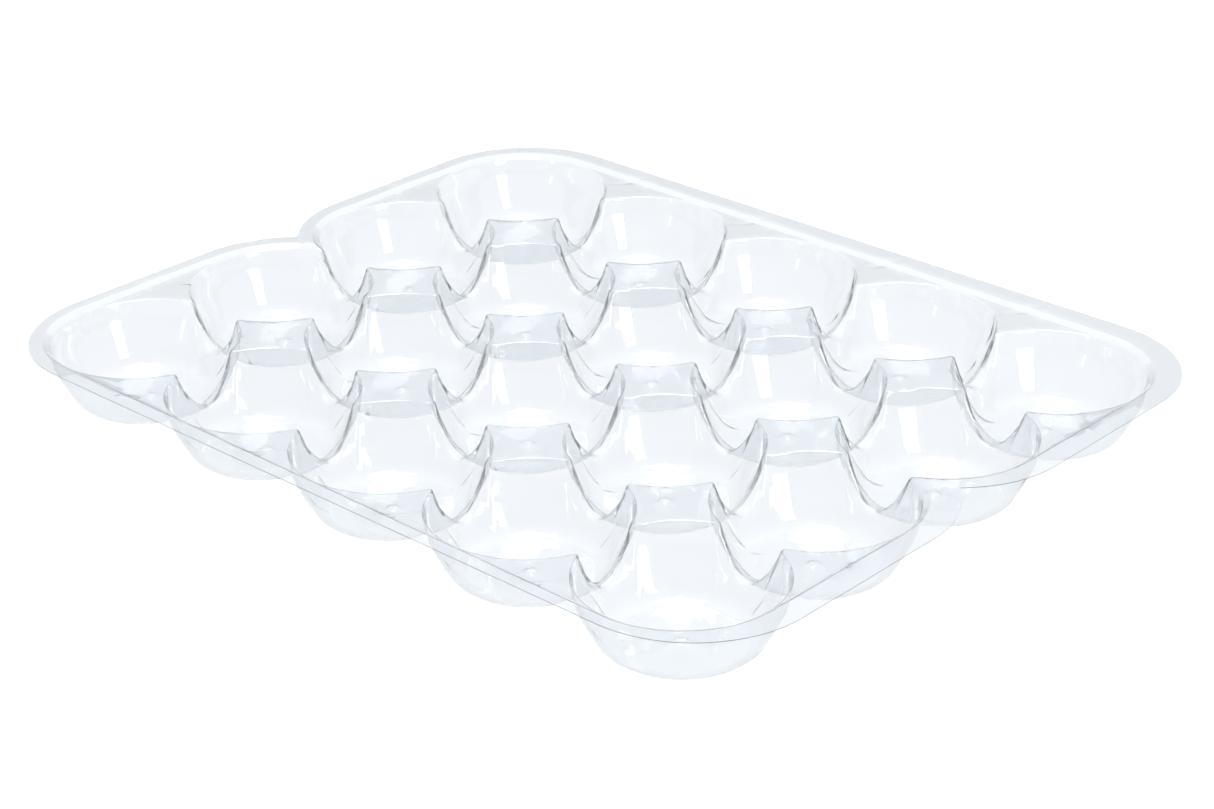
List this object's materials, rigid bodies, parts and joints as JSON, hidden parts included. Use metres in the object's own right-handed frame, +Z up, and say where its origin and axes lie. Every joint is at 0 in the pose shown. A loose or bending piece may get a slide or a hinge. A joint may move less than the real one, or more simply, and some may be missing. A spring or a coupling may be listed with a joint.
{
  "type": "seedling tray insert",
  "caption": "Clear thermoformed tray insert: a grid of shallow round cups with drain holes, flat-topped posts between them, low saddles and a raised flange notched at both ends",
  "frame": {"origin": "under the middle of the tray, on the surface that the cup floors rest on", "axes": "+Z up, +X along the longer side with five cups, +Y along the shorter side with four cups"},
  "size_m": [0.3724, 0.3024, 0.0283],
  "materials": {
    "clear_sheet": "clear, glossy thermoformed sheet with a faint cool blue-grey tint"
  },
  "bodies": {
    "root": {"corner_land_front_left": "clear_sheet", "corner_land_front_right": "clear_sheet", "corner_land_rear_left": "clear_sheet", "corner_land_rear_right": "clear_sheet", "cup_c1_r1": "clear_sheet", "cup_c1_r2": "clear_sheet", "cup_c1_r3": "clear_sheet", "cup_c1_r4": "clear_sheet", "cup_c2_r1": "clear_sheet", "cup_c2_r2": "clear_sheet", "cup_c2_r3": "clear_sheet", "cup_c2_r4": "clear_sheet", "cup_c3_r1": "clear_sheet", "cup_c3_r2": "clear_sheet", "cup_c3_r3": "clear_sheet", "cup_c3_r4": "clear_sheet", "cup_c4_r1": "clear_sheet", "cup_c4_r2": "clear_sheet", "cup_c4_r3": "clear_sheet", "cup_c4_r4": "clear_sheet", "cup_c5_r1": "clear_sheet", "cup_c5_r2": "clear_sheet", "cup_c5_r3": "clear_sheet", "cup_c5_r4": "clear_sheet", "edge_land_front_1": "clear_sheet", "edge_land_front_2": "clear_sheet", "edge_land_front_3": "clear_sheet", "edge_land_front_4": "clear_sheet", "edge_land_left_1": "clear_sheet", "edge_land_left_2": "clear_sheet", "edge_land_left_3": "clear_sheet", "edge_land_rear_1": "clear_sheet", "edge_land_rear_2": "clear_sheet", "edge_land_rear_3": "clear_sheet", "edge_land_rear_4": "clear_sheet", "edge_land_right_1": "clear_sheet", "edge_land_right_2": "clear_sheet", "edge_land_right_3": "clear_sheet", "flange_front": "clear_sheet", "flange_front_left": "clear_sheet", "flange_front_right": "clear_sheet", "flange_left": "clear_sheet", "flange_rear": "clear_sheet", "flange_rear_left": "clear_sheet", "flange_rear_right": "clear_sheet", "flange_right": "clear_sheet", "post_top_c1_r1": "clear_sheet", "post_top_c1_r2": "clear_sheet", "post_top_c1_r3": "clear_sheet", "post_top_c2_r1": "clear_sheet", "post_top_c2_r2": "clear_sheet", "post_top_c2_r3": "clear_sheet", "post_top_c3_r1": "clear_sheet", "post_top_c3_r2": "clear_sheet", "post_top_c3_r3": "clear_sheet", "post_top_c4_r1": "clear_sheet", "post_top_c4_r2": "clear_sheet", "post_top_c4_r3": "clear_sheet"}
  },
  "joints": []
}
